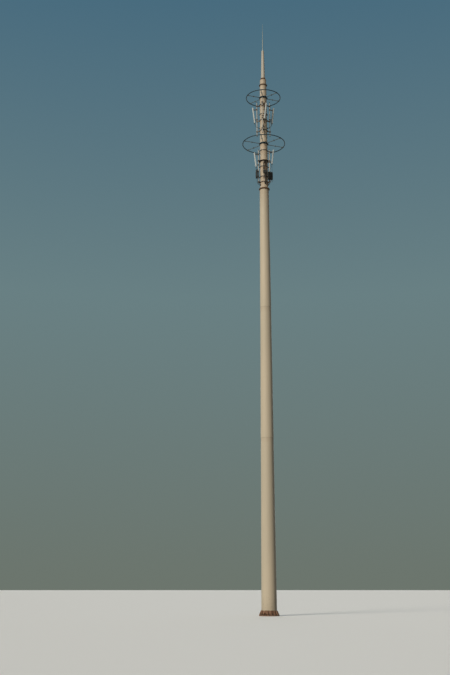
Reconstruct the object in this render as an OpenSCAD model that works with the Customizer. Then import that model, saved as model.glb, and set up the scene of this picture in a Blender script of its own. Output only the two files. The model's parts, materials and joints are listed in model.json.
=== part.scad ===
// Round tapered steel radio mast with two ring frames and two tiers of panel antennas.
// Millimetres, +Z up, origin at the centre of the base flange's underside.
// An azimuth is measured from the front, -Y, and grows towards +X.

/* [Shaft] */
// Outer diameter of the shaft at its foot
foot_d = 930; // [900:5:960]
// Outer diameter of the shaft under its top flange
shaft_top_d = 600; // [590:5:620]
// Wall of the shaft's tapered sections
shaft_wall = 8; // [6:1:10]
// Height of the face where the shaft meets the head
shaft_h = 27280; // [27150:10:27350]
// Height of the lower slip joint's lip
slip_1_z = 10600; // [9000:100:12000]
// Height of the upper slip joint's lip
slip_2_z = 19060; // [17500:100:20500]
// Length of shaft hidden inside each slip joint
slip_lap = 1200; // [900:50:1400]

/* [Foot] */
// Outer diameter of the base flange
base_d = 1230; // [1200:5:1260]
// Diameter of the cable way through the base flange
base_bore_d = 700; // [600:10:760]
// Thickness of the base flange
base_t = 40; // [30:1:50]
// Number of anchor holes, with one gusset between each two
anchor_n = 16; // [12:2:20]
// Diameter of the anchor bolt circle
anchor_pcd = 1090; // [1080:5:1100]
// Diameter of an anchor hole
anchor_hole_d = 48; // [44:1:50]
// Height of a gusset over the base flange
gusset_h = 280; // [200:10:320]
// Thickness of a gusset
gusset_t = 14; // [10:1:16]

/* [Access opening] */
// Azimuth of the access opening, on the unseen side
door_az = 180; // [150:5:210]
// Width of the access opening
door_w = 380; // [340:10:420]
// Height of the access opening with its round ends
door_h = 900; // [800:10:1000]
// Height of the access opening's middle
door_z = 1500; // [1200:50:1800]
// Width of the stiffening frame around the opening
door_rim = 65; // [50:5:80]
// Thickness of the stiffening frame
door_frame_t = 16; // [12:1:20]
// Thickness of the bolted cover
door_cover_t = 6; // [4:1:8]

/* [Head] */
// Outer diameter of the head tube at its foot
head_foot_d = 536; // [520:2:550]
// Outer diameter of the head tube at its top
head_top_d = 447; // [430:1:460]
// Wall of the head tube
head_wall = 8; // [6:1:10]
// Outer diameter of the bolted flanges between shaft and head
main_flange_d = 712; // [700:2:730]
// Thickness of each of the bolted flanges
main_flange_t = 26; // [20:1:30]
// Height of the head tube's top
head_top_z = 34985; // [34900:5:35050]
// Outer diameter of the neck at its foot
neck_foot_d = 430; // [420:1:436]
// Outer diameter of the neck at its top
neck_top_d = 418; // [410:1:428]
// Height of the neck's top
neck_top_z = 35395; // [35330:5:35420]
// Outer diameter of the flanges between head and neck
neck_flange_d = 560; // [540:5:580]

/* [Spire] */
// Outer diameter of the spire at its foot
spire_foot_d = 286; // [270:2:300]
// Outer diameter of the spire at its top
spire_top_d = 167; // [150:1:180]
// Height of the spire's top
spire_top_z = 37670; // [37500:10:37800]
// Outer diameter of the plates that carry the spire
spire_flange_d = 396; // [380:2:410]
// Height of the socket that holds the spire's foot
spire_socket_h = 110; // [90:5:130]
// Number of stiffeners around the socket
spire_rib_n = 8; // [6:1:10]
// Diameter of the lightning rod's thick length
rod_d = 60; // [50:1:64]
// Height where the lightning rod steps down to its middle length
rod_step_z = 38560; // [38300:10:38800]
// Diameter of the lightning rod's middle length
rod_middle_d = 36; // [30:1:42]
// Height where the lightning rod steps down to its thin length
tip_step_z = 39190; // [39000:10:39400]
// Diameter of the lightning rod's thin length
tip_d = 18; // [16:1:24]
// Height of the lightning rod's point
tip_z = 39840; // [39700:10:39900]

/* [Ring frames] */
// Height of the lower ring
low_ring_z = 30590; // [30520:10:30670]
// Diameter of the lower ring along its pipe's middle
low_ring_d = 2830; // [2700:10:2900]
// Height of the upper ring
top_ring_z = 34040; // [33970:10:34120]
// Diameter of the upper ring along its pipe's middle
top_ring_d = 2310; // [2200:10:2400]
// Diameter of the rings' pipe
rim_d = 60; // [50:1:70]
// Diameter of the spokes' pipe
spoke_d = 42; // [36:1:48]
// Number of spokes in a ring
spoke_n = 6; // [6:1:6]
// Azimuth of the first spoke
spoke_az = -10; // [-15:1:-5]
// Height of the hub that carries the spokes
hub_h = 130; // [110:5:160]
// Diameter of the plate around the lower hub
low_plate_d = 640; // [620:5:660]
// Diameter of the plate around the upper hub
top_plate_d = 580; // [560:5:600]
// Thickness of the plates around the hubs and the collar
plate_t = 12; // [8:1:14]
// Diameter of the bolted coupling on each spoke
coupling_d = 104; // [90:2:120]
// Place of the coupling, as a share of the ring's radius
coupling_at = 0.6; // [0.55:0.01:0.65]
// Wall of the sockets that hold the spokes' ends
socket_wall = 8; // [6:1:10]
// Length of a socket at a hub
socket_l = 90; // [70:5:110]

/* [Antennas] */
// Width of a panel antenna
panel_w = 172; // [160:2:190]
// Depth of a panel antenna
panel_deep = 84; // [76:2:96]
// Height of an upper panel antenna
top_panel_h = 1150; // [1100:10:1180]
// Height of a lower panel antenna
low_panel_h = 1010; // [990:10:1030]
// Forward lean of the panel antennas in degrees
panel_tilt = 6.6; // [5:0.1:8]
// Distance from a pipe's axis to the middle of the panel it carries
panel_out = 220; // [214:2:230]
// Diameter of the upright antenna pipes
pole_d = 60; // [54:1:66]
// Radius from the mast's axis to the upper antenna pipes
top_pole_r = 460; // [450:5:470]
// Radius from the mast's axis to the lower antenna pipes
low_pole_r = 410; // [405:5:425]

/* [Radio units] */
// Width of a radio unit
radio_w = 300; // [280:5:320]
// Depth of a radio unit with its cooling fins
radio_deep = 130; // [120:5:150]
// Height of a radio unit
radio_h = 560; // [540:10:580]
// Number of cooling fins on a radio unit
fin_n = 11; // [7:1:15]

/* [Clamps and cables] */
// Height of a clamp band around the head
band_h = 70; // [60:5:80]
// Thickness of a clamp band
band_t = 9; // [8:1:12]
// Length of the bolting ears on a band
ear_l = 62; // [50:2:80]
// Thickness of one bolting ear
ear_t = 10; // [8:1:12]
// Gap between the two halves of a band
band_gap = 14; // [10:1:20]
// Diameter of the collar plate over the lower antennas' upper arms
collar_d = 706; // [690:2:714]
// Width of the square standoff arms
arm_w = 50; // [40:2:60]
// Diameter of a jumper cable
jumper_d = 16; // [12:1:20]
// Diameter of a feeder cable
feeder_d = 26; // [22:1:30]

/* [Hidden] */
$fn = 96;

// Azimuths of the antenna pipes
low_az = [-66, 62, 180];
top_az = [-12, -107, 109];
// Azimuths that the panels and the radio units face
low_face = [-88, 88, 180];
top_face = [80, -95, 109];
radio_face = [-88, 17, 180];
// Heights of the panels' and radio units' middles
low_panel_z = [29350, 29540, 29450];
top_panel_z = [32800, 32800, 32800];
radio_z = [28320, 28130, 28250];
// Places of the tilt brackets along a panel
low_bracket_at = [-380, 380];
top_bracket_at = [-330, 425];
// Reach of the upright pipes
low_pole_z = [27660, 30100];
top_pole_z = [31230, 33800];
// Heights of the bands that carry the standoff arms
low_arm_z = [27755, 29275];
top_arm_z = [31575, 32340, 33495];
// Heights of the plain bands
low_band_z = [28150, 28890, 30070];
top_band_z = [32780];
// Azimuth where the bands are split
split_az = 90;
// Heights of the cable ports, each with its azimuth
feeder_az = 12;
feeder_port_z = [27640, 29170];
low_port_z = 27560;
top_port_z = 31810;
port_places = concat([for (z = feeder_port_z) [z, feeder_az]],
    [for (az = low_az) [low_port_z, az]], [for (az = top_az) [top_port_z, az]]);
// Middle and size of the junction box on the front
junction_z = 28450;
junction_size = [250, 90, 170];

shaft_steps = 2;
shaft_foot_z = base_t;
shaft_rim_z = shaft_h - main_flange_t;
shaft_slope = (foot_d / 2 + shaft_steps * shaft_wall - shaft_top_d / 2)
    / (shaft_rim_z - shaft_foot_z);
head_foot_z = shaft_h + main_flange_t;
head_slope = (head_foot_d - head_top_d) / 2 / (head_top_z - head_foot_z);
neck_plate_t = 12;
neck_foot_z = head_top_z + 2 * neck_plate_t;
spire_plate_t = 20;
spire_foot_z = neck_top_z + 2 * spire_plate_t;
spire_cap_t = 12;
jaw_w = 116;
jaw_h = 76;
jaw_t = 16;
jaw_gap = 12;
bar_w = 46;
bar_t = 6;
connector_d = 30;
connector_l = 46;
jumper_x = 46;
feeder_pitch = feeder_d + 5;
port_d = 110;
port_l = 50;
radio_back = pole_d / 2 + jaw_t + 14;
eps = 0.5;

// Outer radius of the shaft at a height, where each slip joint adds one wall
function shaft_r(z, section) =
    foot_d / 2 - shaft_slope * (z - shaft_foot_z) + section * shaft_wall;

// Outer radius of the head tube at a height
function head_r(z) = head_foot_d / 2 - head_slope * (z - head_foot_z);

// Points of an arc in the plane
function arc(centre, r, from, to, steps) =
    [for (i = [0 : steps]) let (a = from + (to - from) * i / steps)
        [centre[0] + r * cos(a), centre[1] + r * sin(a)]];

// Outer radius of the spire at a height
function spire_r(z) = spire_foot_d / 2
    - (spire_foot_d - spire_top_d) / 2 * (z - spire_foot_z) / (spire_top_z - spire_foot_z);

// A point on a smooth curve through four places, at t from 0 to 1 between the middle two
function curve_point(a, b, c, d, t) =
    0.5 * (2 * b + (c - a) * t + (2 * a - 5 * b + 4 * c - d) * t * t
        + (3 * b - a - 3 * c + d) * t * t * t);

// A smooth route through a list of places, with so many steps between each two
function route(places, steps) = let (n = len(places))
    [for (i = [0 : n - 2], s = [0 : steps - 1])
        curve_point(places[max(i - 1, 0)], places[i], places[i + 1],
            places[min(i + 2, n - 1)], s / steps), places[n - 1]];

function unit(v) = v / norm(v);

// A place given from a pipe's axis, with -Y towards an azimuth face
function from_pipe(az, r, face, p) = [
    r * sin(az) + p[0] * cos(face) - p[1] * sin(face),
    p[0] * sin(face) + p[1] * cos(face) - r * cos(az),
    p[2]];

// A place given from the mast's axis, with -Y towards an azimuth
function from_axis(az, p) = from_pipe(0, 0, az, p);

// Turns the front of the mast, -Y, to an azimuth
module facing(az) rotate([0, 0, az]) children();

// Stands a thing on a pipe's axis, with its front, -Y, towards an azimuth face
module on_pipe(az, r, face) facing(az) translate([0, -r, 0]) rotate([0, 0, face - az]) children();

// Slot outline with round ends, upright in the XZ plane, through its whole depth along Y
module slot_block(w, h, y0, y1) {
    translate([0, y1, 0]) rotate([90, 0, 0]) linear_extrude(y1 - y0) {
        square([w, h - w], center = true);
        for (s = [-1, 1]) translate([0, s * (h - w) / 2]) circle(d = w);
    }
}

// Thin-walled cone around the axis
module shell(z0, z1, r0, r1, wall) {
    rotate_extrude() polygon([[r0 - wall, z0], [r0, z0], [r1, z1], [r1 - wall, z1]]);
}

// Ring plate around the axis
module ring_plate(z, t, outer_d, inner_d) {
    translate([0, 0, z]) rotate_extrude()
        translate([inner_d / 2, 0]) square([(outer_d - inner_d) / 2, t]);
}

// Tube swept along a route, with its sides set out from the direction side_way
module cable(places, d, side_way, steps = 4, sides = 8) {
    path = route(places, steps);
    n = len(path);
    rings = [for (i = [0 : n - 1]) let (
            along = unit(path[min(i + 1, n - 1)] - path[max(i - 1, 0)]),
            up = unit(cross(along, side_way)),
            side = cross(up, along))
        for (k = [0 : sides - 1]) path[i]
            + d / 2 * (cos(360 * k / sides) * side + sin(360 * k / sides) * up)];
    walls = [for (i = [0 : n - 2], k = [0 : sides - 1])
        [i * sides + k, i * sides + (k + 1) % sides,
            (i + 1) * sides + (k + 1) % sides, (i + 1) * sides + k]];
    ends = [[for (k = [sides - 1 : -1 : 0]) k], [for (k = [0 : sides - 1]) (n - 1) * sides + k]];
    polyhedron(rings, concat(walls, ends));
}

// Foot of the mast
module base_flange() {
    color("sienna") difference() {
        rotate_extrude() polygon([[base_bore_d / 2, 0], [base_d / 2, 0], [base_d / 2, base_t - 4],
            [base_d / 2 - 4, base_t], [base_bore_d / 2, base_t]]);
        for (i = [0 : anchor_n - 1]) facing(i * 360 / anchor_n)
            translate([0, -anchor_pcd / 2, -eps]) cylinder(d = anchor_hole_d, h = base_t + 2 * eps);
    }
}

module base_gussets() {
    cope = 20;
    outer_r = base_d / 2 - 12;
    toe = 50;
    color("sienna") for (i = [0 : anchor_n - 1]) facing((i + 0.5) * 360 / anchor_n)
        difference() {
            translate([gusset_t / 2, 0, base_t]) rotate([90, 0, -90])
                linear_extrude(gusset_t) polygon([[foot_d / 2 - 30, 0], [outer_r, 0],
                    [outer_r, toe], [foot_d / 2 + 22, gusset_h], [foot_d / 2 - 30, gusset_h]]);
            rotate_extrude() polygon([[0, base_t], [foot_d / 2, base_t],
                [shaft_r(base_t + gusset_h + 20, 0), base_t + gusset_h + 20],
                [0, base_t + gusset_h + 20]]);
            translate([0, -foot_d / 2, base_t]) rotate([0, 90, 0])
                cylinder(r = cope, h = 2 * gusset_t, center = true);
        }
}

// Tapered sections of the shaft, each slipped over the one below
module shaft_section(z0, z1, section) {
    shell(z0, z1, shaft_r(z0, section), shaft_r(z1, section), shaft_wall);
}

module shaft_lower() {
    color("antiquewhite") difference() {
        shaft_section(shaft_foot_z, slip_1_z + slip_lap, 0);
        facing(door_az) translate([0, 0, door_z]) slot_block(door_w, door_h, -foot_d, 0);
    }
}

module shaft_middle() {
    color("antiquewhite") shaft_section(slip_1_z, slip_2_z + slip_lap, 1);
}

module shaft_upper() {
    color("antiquewhite") shaft_section(slip_2_z, shaft_rim_z, 2);
}

// Curved plate on the shaft's lower section, from one radial offset to another
module shaft_pad(z0, z1, from, to) {
    shell(z0, z1, shaft_r(z0, 0) + to, shaft_r(z1, 0) + to, to - from);
}

module access_frame() {
    half = door_h / 2 + door_rim;
    color("antiquewhite") difference() {
        intersection() {
            shaft_pad(door_z - half - 10, door_z + half + 10, 0, door_frame_t);
            facing(door_az) translate([0, 0, door_z])
                slot_block(door_w + 2 * door_rim, door_h + 2 * door_rim, -foot_d, 0);
        }
        facing(door_az) translate([0, 0, door_z]) slot_block(door_w, door_h, -foot_d, 0);
    }
}

module access_cover() {
    lap = door_rim - 14;
    half = door_h / 2 + lap;
    color("antiquewhite") intersection() {
        shaft_pad(door_z - half - 10, door_z + half + 10, door_frame_t,
            door_frame_t + door_cover_t);
        facing(door_az) translate([0, 0, door_z])
            slot_block(door_w + 2 * lap, door_h + 2 * lap, -foot_d, 0);
    }
}

// Bolted joint between shaft and head
module shaft_flange() {
    color("sienna") ring_plate(shaft_rim_z, main_flange_t, main_flange_d,
        shaft_top_d - 2 * shaft_wall);
}

module head_flange() {
    color("sienna") ring_plate(shaft_h, main_flange_t, main_flange_d,
        head_foot_d - 2 * head_wall);
}

module head_tube() {
    color("antiquewhite") shell(head_foot_z, head_top_z, head_r(head_foot_z),
        head_r(head_top_z), head_wall);
}

module neck_flanges() {
    color("sienna") {
        ring_plate(head_top_z, neck_plate_t, neck_flange_d, neck_foot_d - 2 * head_wall);
        ring_plate(head_top_z + neck_plate_t, neck_plate_t, neck_flange_d,
            neck_foot_d - 2 * head_wall);
    }
}

module neck_tube() {
    color("antiquewhite") shell(neck_foot_z, neck_top_z, neck_foot_d / 2, neck_top_d / 2,
        head_wall);
}

// Spire with its carrying plates and the lightning rod
module spire_flanges() {
    wall = 9;
    socket_r = spire_foot_d / 2 + wall;
    rib_t = 10;
    color("sienna") {
        translate([0, 0, neck_top_z]) cylinder(d = neck_top_d + 6, h = spire_plate_t);
        translate([0, 0, neck_top_z + spire_plate_t])
            cylinder(d = spire_flange_d, h = spire_plate_t);
        rotate_extrude() polygon([[spire_r(spire_foot_z), spire_foot_z - 1],
            [socket_r, spire_foot_z - 1], [socket_r, spire_foot_z + spire_socket_h],
            [spire_r(spire_foot_z + spire_socket_h), spire_foot_z + spire_socket_h],
            [spire_r(spire_foot_z), spire_foot_z]]);
        for (i = [0 : spire_rib_n - 1]) facing((i + 0.5) * 360 / spire_rib_n)
            translate([rib_t / 2, 0, spire_foot_z]) rotate([90, 0, -90])
                linear_extrude(rib_t) polygon([[socket_r - wall / 2, -1],
                    [spire_flange_d / 2 - 4, -1], [spire_flange_d / 2 - 4, 14],
                    [socket_r + 5, spire_socket_h - 6], [socket_r - wall / 2, spire_socket_h - 6]]);
    }
}

module spire_tube() {
    wall = 5;
    inner_top_z = spire_top_z - spire_cap_t;
    color("antiquewhite") rotate_extrude() polygon([[spire_foot_d / 2 - wall, spire_foot_z],
        [spire_foot_d / 2, spire_foot_z], [spire_top_d / 2, spire_top_z], [0, spire_top_z],
        [0, inner_top_z], [spire_top_d / 2 - wall, inner_top_z]]);
}

module lightning_rod() {
    socket_d = 90;
    socket_h = 120;
    taper_h = 40;
    point_h = 70;
    color("darkkhaki") rotate_extrude() polygon([[0, spire_top_z], [socket_d / 2, spire_top_z],
        [socket_d / 2, spire_top_z + socket_h], [rod_d / 2, spire_top_z + socket_h + 20],
        [rod_d / 2, rod_step_z], [rod_middle_d / 2, rod_step_z + taper_h],
        [rod_middle_d / 2, tip_step_z], [tip_d / 2, tip_step_z + taper_h],
        [tip_d / 2, tip_z - point_h], [0, tip_z]]);
}

// Ring frames: a pipe rim, six coupled spokes, a split hub and clamps on the rim
module rim(z, d) {
    color("slategray") translate([0, 0, z]) rotate_extrude() translate([d / 2, 0])
        circle(d = rim_d);
}

function hub_r(z) = head_r(z) + band_t + 3;

module along_spokes(z) {
    for (i = [0 : spoke_n - 1]) facing(spoke_az + i * 360 / spoke_n)
        translate([0, 0, z]) rotate([90, 0, 0]) children();
}

module spokes(z, d) {
    from = hub_r(z) + 6;
    half_t = 10;
    color("slategray") along_spokes(z) {
        translate([0, 0, from]) cylinder(d = spoke_d, h = d / 2 - rim_d / 2 - socket_wall - from);
        for (step = [0, half_t + 2]) translate([0, 0, coupling_at * d / 2 + step])
            cylinder(d = coupling_d, h = half_t);
    }
}

module hub(z, plate_d) {
    seam_az = spoke_az + 30;
    outer_r = hub_r(z);
    color("slategray") difference() {
        union() {
            split_band(z, hub_h, band_t + 3, seam_az);
            split_plate(z, plate_d, band_t + 3, seam_az);
            along_spokes(z) translate([0, 0, outer_r - 4])
                cylinder(d = spoke_d + 2 * socket_wall, h = socket_l);
        }
        along_spokes(z) translate([0, 0, outer_r + 6]) cylinder(d = spoke_d, h = socket_l);
    }
}

module rim_clamps(z, d) {
    spread = 34;
    sleeve_r = rim_d / 2 + socket_wall;
    turn = 2 * asin(spread / d);
    color("slategray") difference() {
        union() {
            for (i = [0 : spoke_n - 1]) facing(spoke_az + i * 360 / spoke_n - 90 - turn)
                translate([0, 0, z]) rotate_extrude(angle = 2 * turn) translate([d / 2, 0])
                    circle(r = sleeve_r);
            along_spokes(z) translate([0, 0, d / 2 - sleeve_r - socket_l + 20])
                cylinder(d = spoke_d + 2 * socket_wall, h = socket_l);
        }
        translate([0, 0, z]) rotate_extrude() translate([d / 2, 0]) circle(d = rim_d);
        along_spokes(z) translate([0, 0, d / 2 - sleeve_r - socket_l])
            cylinder(d = spoke_d, h = socket_l);
    }
}

module lower_rim() { rim(low_ring_z, low_ring_d); }
module lower_spokes() { spokes(low_ring_z, low_ring_d); }
module lower_hub() { hub(low_ring_z, low_plate_d); }
module lower_rim_clamps() { rim_clamps(low_ring_z, low_ring_d); }
module upper_rim() { rim(top_ring_z, top_ring_d); }
module upper_spokes() { spokes(top_ring_z, top_ring_d); }
module upper_hub() { hub(top_ring_z, top_plate_d); }
module upper_rim_clamps() { rim_clamps(top_ring_z, top_ring_d); }

// Plate in two halves around a band of thickness t, let into the band's wall
module split_plate(z, d, t, seam_az) {
    difference() {
        ring_plate(z - plate_t / 2, plate_t, d, 2 * head_r(z) + t);
        facing(seam_az) translate([0, 0, z]) cube([band_gap, 2 * d, 2 * plate_t], center = true);
    }
}

// Band of two halves around the head, drawn together at its bolting ears
module split_band(z, h, t, seam_az) {
    outer_r = head_r(z) + t;
    difference() {
        rotate_extrude() polygon([[head_r(z - h / 2), z - h / 2], [outer_r, z - h / 2],
            [outer_r, z + h / 2], [head_r(z + h / 2), z + h / 2]]);
        facing(seam_az) translate([0, 0, z]) cube([band_gap, 3 * outer_r, h + 2], center = true);
    }
    for (side = [0, 180], s = [-1, 1]) facing(seam_az + side)
        translate([s * (band_gap + ear_t) / 2, -outer_r - (ear_l - t / 2) / 2, z])
            cube([ear_t, ear_l + t / 2, h], center = true);
}

module bands(heights, h) {
    color("dimgray") for (z = heights) split_band(z, h, band_t, split_az);
}

module lower_bands() { bands(low_band_z, band_h); }
module upper_bands() { bands(top_band_z, band_h); }

// Bands that carry the arms, the lower antennas' upper one with a collar plate
module lower_arm_bands() {
    bands(low_arm_z, jaw_h);
    color("dimgray") split_plate(low_arm_z[1] + (arm_w + plate_t) / 2, collar_d, band_t, split_az);
}

module upper_arm_bands() { bands(top_arm_z, jaw_h); }

// Square arms from a band to the upright pipes, each with a two-part pipe clamp
module standoffs(heights, azimuths, pole_r) {
    jaw_back = pole_d / 2 + jaw_t;
    color("dimgray") difference() {
        for (z = heights, az = azimuths) facing(az) {
            from = head_r(z) + band_t;
            difference() {
                translate([0, -(from + pole_r - jaw_back) / 2, z])
                    cube([arm_w, pole_r - jaw_back - from + 4, arm_w], center = true);
                translate([0, 0, z - arm_w]) cylinder(r = from, h = 2 * arm_w);
            }
            for (s = [-1, 1]) translate([0, -pole_r + s * (jaw_back + jaw_gap / 2) / 2, z])
                cube([jaw_w, jaw_back - jaw_gap / 2, jaw_h], center = true);
        }
        for (az = azimuths) facing(az) translate([0, -pole_r, heights[0] - 200])
            cylinder(d = pole_d, h = heights[len(heights) - 1] - heights[0] + 400);
    }
}

module lower_standoffs() { standoffs(low_arm_z, low_az, low_pole_r); }
module upper_standoffs() { standoffs(top_arm_z, top_az, top_pole_r); }

module poles(reach, azimuths, pole_r) {
    color("gainsboro") for (az = azimuths) facing(az) translate([0, -pole_r, reach[0]])
        cylinder(d = pole_d, h = reach[1] - reach[0]);
}

module lower_pipes() { poles(low_pole_z, low_az, low_pole_r); }
module upper_pipes() { poles(top_pole_z, top_az, top_pole_r); }

// Outline of a panel antenna, round in front and with small corners behind
module radome_outline(w, deep) {
    front = 32;
    back = 10;
    polygon(concat(
        arc([w / 2 - back, deep / 2 - back], back, 0, 90, 3),
        arc([back - w / 2, deep / 2 - back], back, 90, 180, 3),
        arc([front - w / 2, front - deep / 2], front, 180, 270, 6),
        arc([w / 2 - front, front - deep / 2], front, 270, 360, 6)));
}

// Places a thing in a panel's own frame, from the frame of its pipe
module leaning(z) {
    translate([0, -panel_out, z]) rotate([panel_tilt, 0, 0]) children();
}

module panel(h) {
    cap_h = 22;
    cap_lip = 5;
    color("whitesmoke") {
        translate([0, 0, -h / 2]) linear_extrude(h)
            radome_outline(panel_w - cap_lip, panel_deep - cap_lip);
        for (z0 = [-h / 2, h / 2 - cap_h]) translate([0, 0, z0])
            linear_extrude(cap_h) radome_outline(panel_w, panel_deep);
    }
}

module on_low_pipe(i) on_pipe(low_az[i], low_pole_r, low_face[i]) children();
module on_top_pipe(i) on_pipe(top_az[i], top_pole_r, top_face[i]) children();

module low_panel(i) { on_low_pipe(i) leaning(low_panel_z[i]) panel(low_panel_h); }
module top_panel(i) { on_top_pipe(i) leaning(top_panel_z[i]) panel(top_panel_h); }

module lower_panel_left() { low_panel(0); }
module lower_panel_right() { low_panel(1); }
module lower_panel_rear() { low_panel(2); }
module upper_panel_front() { top_panel(0); }
module upper_panel_left() { top_panel(1); }
module upper_panel_right() { top_panel(2); }

// Flat bar with round ends and its eyes at two places of the YZ plane, standing at x
module eye_bar(a, b, x) {
    span = norm(b - a);
    lean = atan2(b[1] - a[1], b[0] - a[0]);
    translate([x - bar_t / 2, a[0], a[1]]) rotate([lean, 0, 0]) rotate([90, 0, 90])
        linear_extrude(bar_t) {
            translate([0, -bar_w / 2]) square([span, bar_w]);
            circle(d = bar_w);
            translate([span, 0]) circle(d = bar_w);
        }
}

// Place from the pipe, as y and z, of a point that lies in the panel's own frame
function panel_place(panel_z, y, up) = [
    y * cos(panel_tilt) - up * sin(panel_tilt) - panel_out,
    y * sin(panel_tilt) + up * cos(panel_tilt) + panel_z];

// Clamp on an antenna pipe with two ears, and bars that hold the panel's lug
module tilt_bracket(panel_z, up) {
    ear_x = 26;
    lug = 40;
    lug_t = 8;
    lug_x = ear_x - lug_t / 2;
    clamp_back = pole_d / 2 + jaw_t;
    hinge = panel_place(panel_z, panel_deep / 2 + lug, up);
    difference() {
        for (s = [-1, 1]) translate([0, s * (clamp_back + jaw_gap / 2) / 2, hinge[1]])
            cube([jaw_w - 16, clamp_back - jaw_gap / 2, jaw_h - 12], center = true);
        translate([0, 0, hinge[1] - jaw_h]) cylinder(d = pole_d, h = 2 * jaw_h);
    }
    for (s = [-1, 1]) {
        translate([s * lug_x, -clamp_back - lug / 2, hinge[1]])
            cube([lug_t, lug + 2, bar_w], center = true);
        eye_bar([-clamp_back - lug, hinge[1]], hinge, s * ear_x);
        leaning(panel_z) translate([s * lug_x, panel_deep / 2 + lug / 2, up])
            cube([lug_t, lug + 2, bar_w], center = true);
    }
}

module lower_tilt_brackets() {
    color("darkgray") for (i = [0 : 2], up = low_bracket_at) on_low_pipe(i)
        tilt_bracket(low_panel_z[i], up);
}

module upper_tilt_brackets() {
    color("darkgray") for (i = [0 : 2], up = top_bracket_at) on_top_pipe(i)
        tilt_bracket(top_panel_z[i], up);
}

// Pair of cable connectors in a panel's foot
module connectors(h) {
    color("dimgray") for (s = [-1, 1]) translate([s * jumper_x, 0, -h / 2]) {
        translate([0, 0, -8]) cylinder(d = connector_d + 8, h = 8, $fn = 6);
        translate([0, 0, -connector_l]) cylinder(d = connector_d, h = connector_l - 8);
    }
}

module lower_connectors() {
    for (i = [0 : 2]) on_low_pipe(i) leaning(low_panel_z[i]) connectors(low_panel_h);
}

module upper_connectors() {
    for (i = [0 : 2]) on_top_pipe(i) leaning(top_panel_z[i]) connectors(top_panel_h);
}

// Radio unit: a cast body with upright cooling fins in front and brackets on the pipe
module radio(i) {
    body_deep = radio_deep * 0.55;
    fin_t = 6;
    fin_deep = radio_deep - body_deep;
    pitch = (radio_w - fin_t) / (fin_n - 1);
    color("dimgray") on_pipe(low_az[i], low_pole_r, radio_face[i]) translate([0, 0, radio_z[i]]) {
        translate([0, -radio_back - body_deep / 2, 0])
            cube([radio_w, body_deep, radio_h], center = true);
        for (k = [0 : fin_n - 1])
            translate([k * pitch - radio_w / 2, -radio_back - radio_deep, 30 - radio_h / 2])
                cube([fin_t, fin_deep + 1, radio_h - 60]);
        for (s = [-1, 1]) translate([0, 0, s * radio_h / 3]) difference() {
            translate([-jaw_w / 2, -radio_back - 2, -jaw_h / 2])
                cube([jaw_w, radio_back + 2 - jaw_gap / 2, jaw_h]);
            translate([0, 0, -jaw_h]) cylinder(d = pole_d, h = 2 * jaw_h);
        }
    }
}

module radio_left() { radio(0); }
module radio_right() { radio(1); }
module radio_rear() { radio(2); }

// The head tube as a solid, to seat things on its surface
module head_core() {
    rotate_extrude() polygon([[0, head_foot_z], [head_r(head_foot_z), head_foot_z],
        [head_r(head_top_z), head_top_z], [0, head_top_z]]);
}

// Box for cable joints on the front of the head
module junction_box() {
    back = 40;
    color("dimgray") difference() {
        facing(feeder_az) translate([-junction_size[0] / 2,
            -head_r(junction_z) - junction_size[1], junction_z - junction_size[2] / 2])
                cube(junction_size + [0, back, 0]);
        head_core();
    }
}

// Hooded ports where cables pass through the head tube's wall
module cable_ports() {
    color("dimgray") difference() {
        for (p = port_places) facing(p[1]) translate([0, -head_r(p[0]) - port_l, p[0]])
            rotate([-90, 0, 0]) cylinder(d = port_d, h = port_l + 30);
        head_core();
    }
}

// Cable along places from the pipe's axis, then along places from the mast's axis
module routed(az, r, face, near, far, d, steps = 4) {
    cable(concat([for (p = near) from_pipe(az, r, face, p)], [for (p = far) from_axis(az, p)]),
        d, [cos(face), sin(face), 0], steps);
}

// Jumpers from the upper panels' connectors into the ports beside their pipes
module upper_jumpers() {
    z = top_port_z;
    mouth = head_r(z) + port_l;
    color("black") for (i = [0 : 2], s = [-1, 1]) {
        foot = panel_place(top_panel_z[i], 0, 4 - top_panel_h / 2 - connector_l);
        past = i > 0
            ? [[s * 52, -top_pole_r - 84, z + 187], [s * 52, -top_pole_r + 4, z + 87],
                [s * 40, -top_pole_r + 104, z + 47]]
            : s > 0
            ? [[112, -388, z + 200], [66, -352, z + 70]]
            : [[128, -478, z + 180], [64, -424, z + 50], [4, -368, z - 4]];
        routed(top_az[i], top_pole_r, top_face[i],
            [[s * jumper_x, foot[0], foot[1]], [s * jumper_x, foot[0] + 4, foot[1] - 60]],
            concat(past, [[s * 28, -mouth - 22, z], [s * 24, -mouth + 8, z]]), jumper_d);
    }
}

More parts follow.
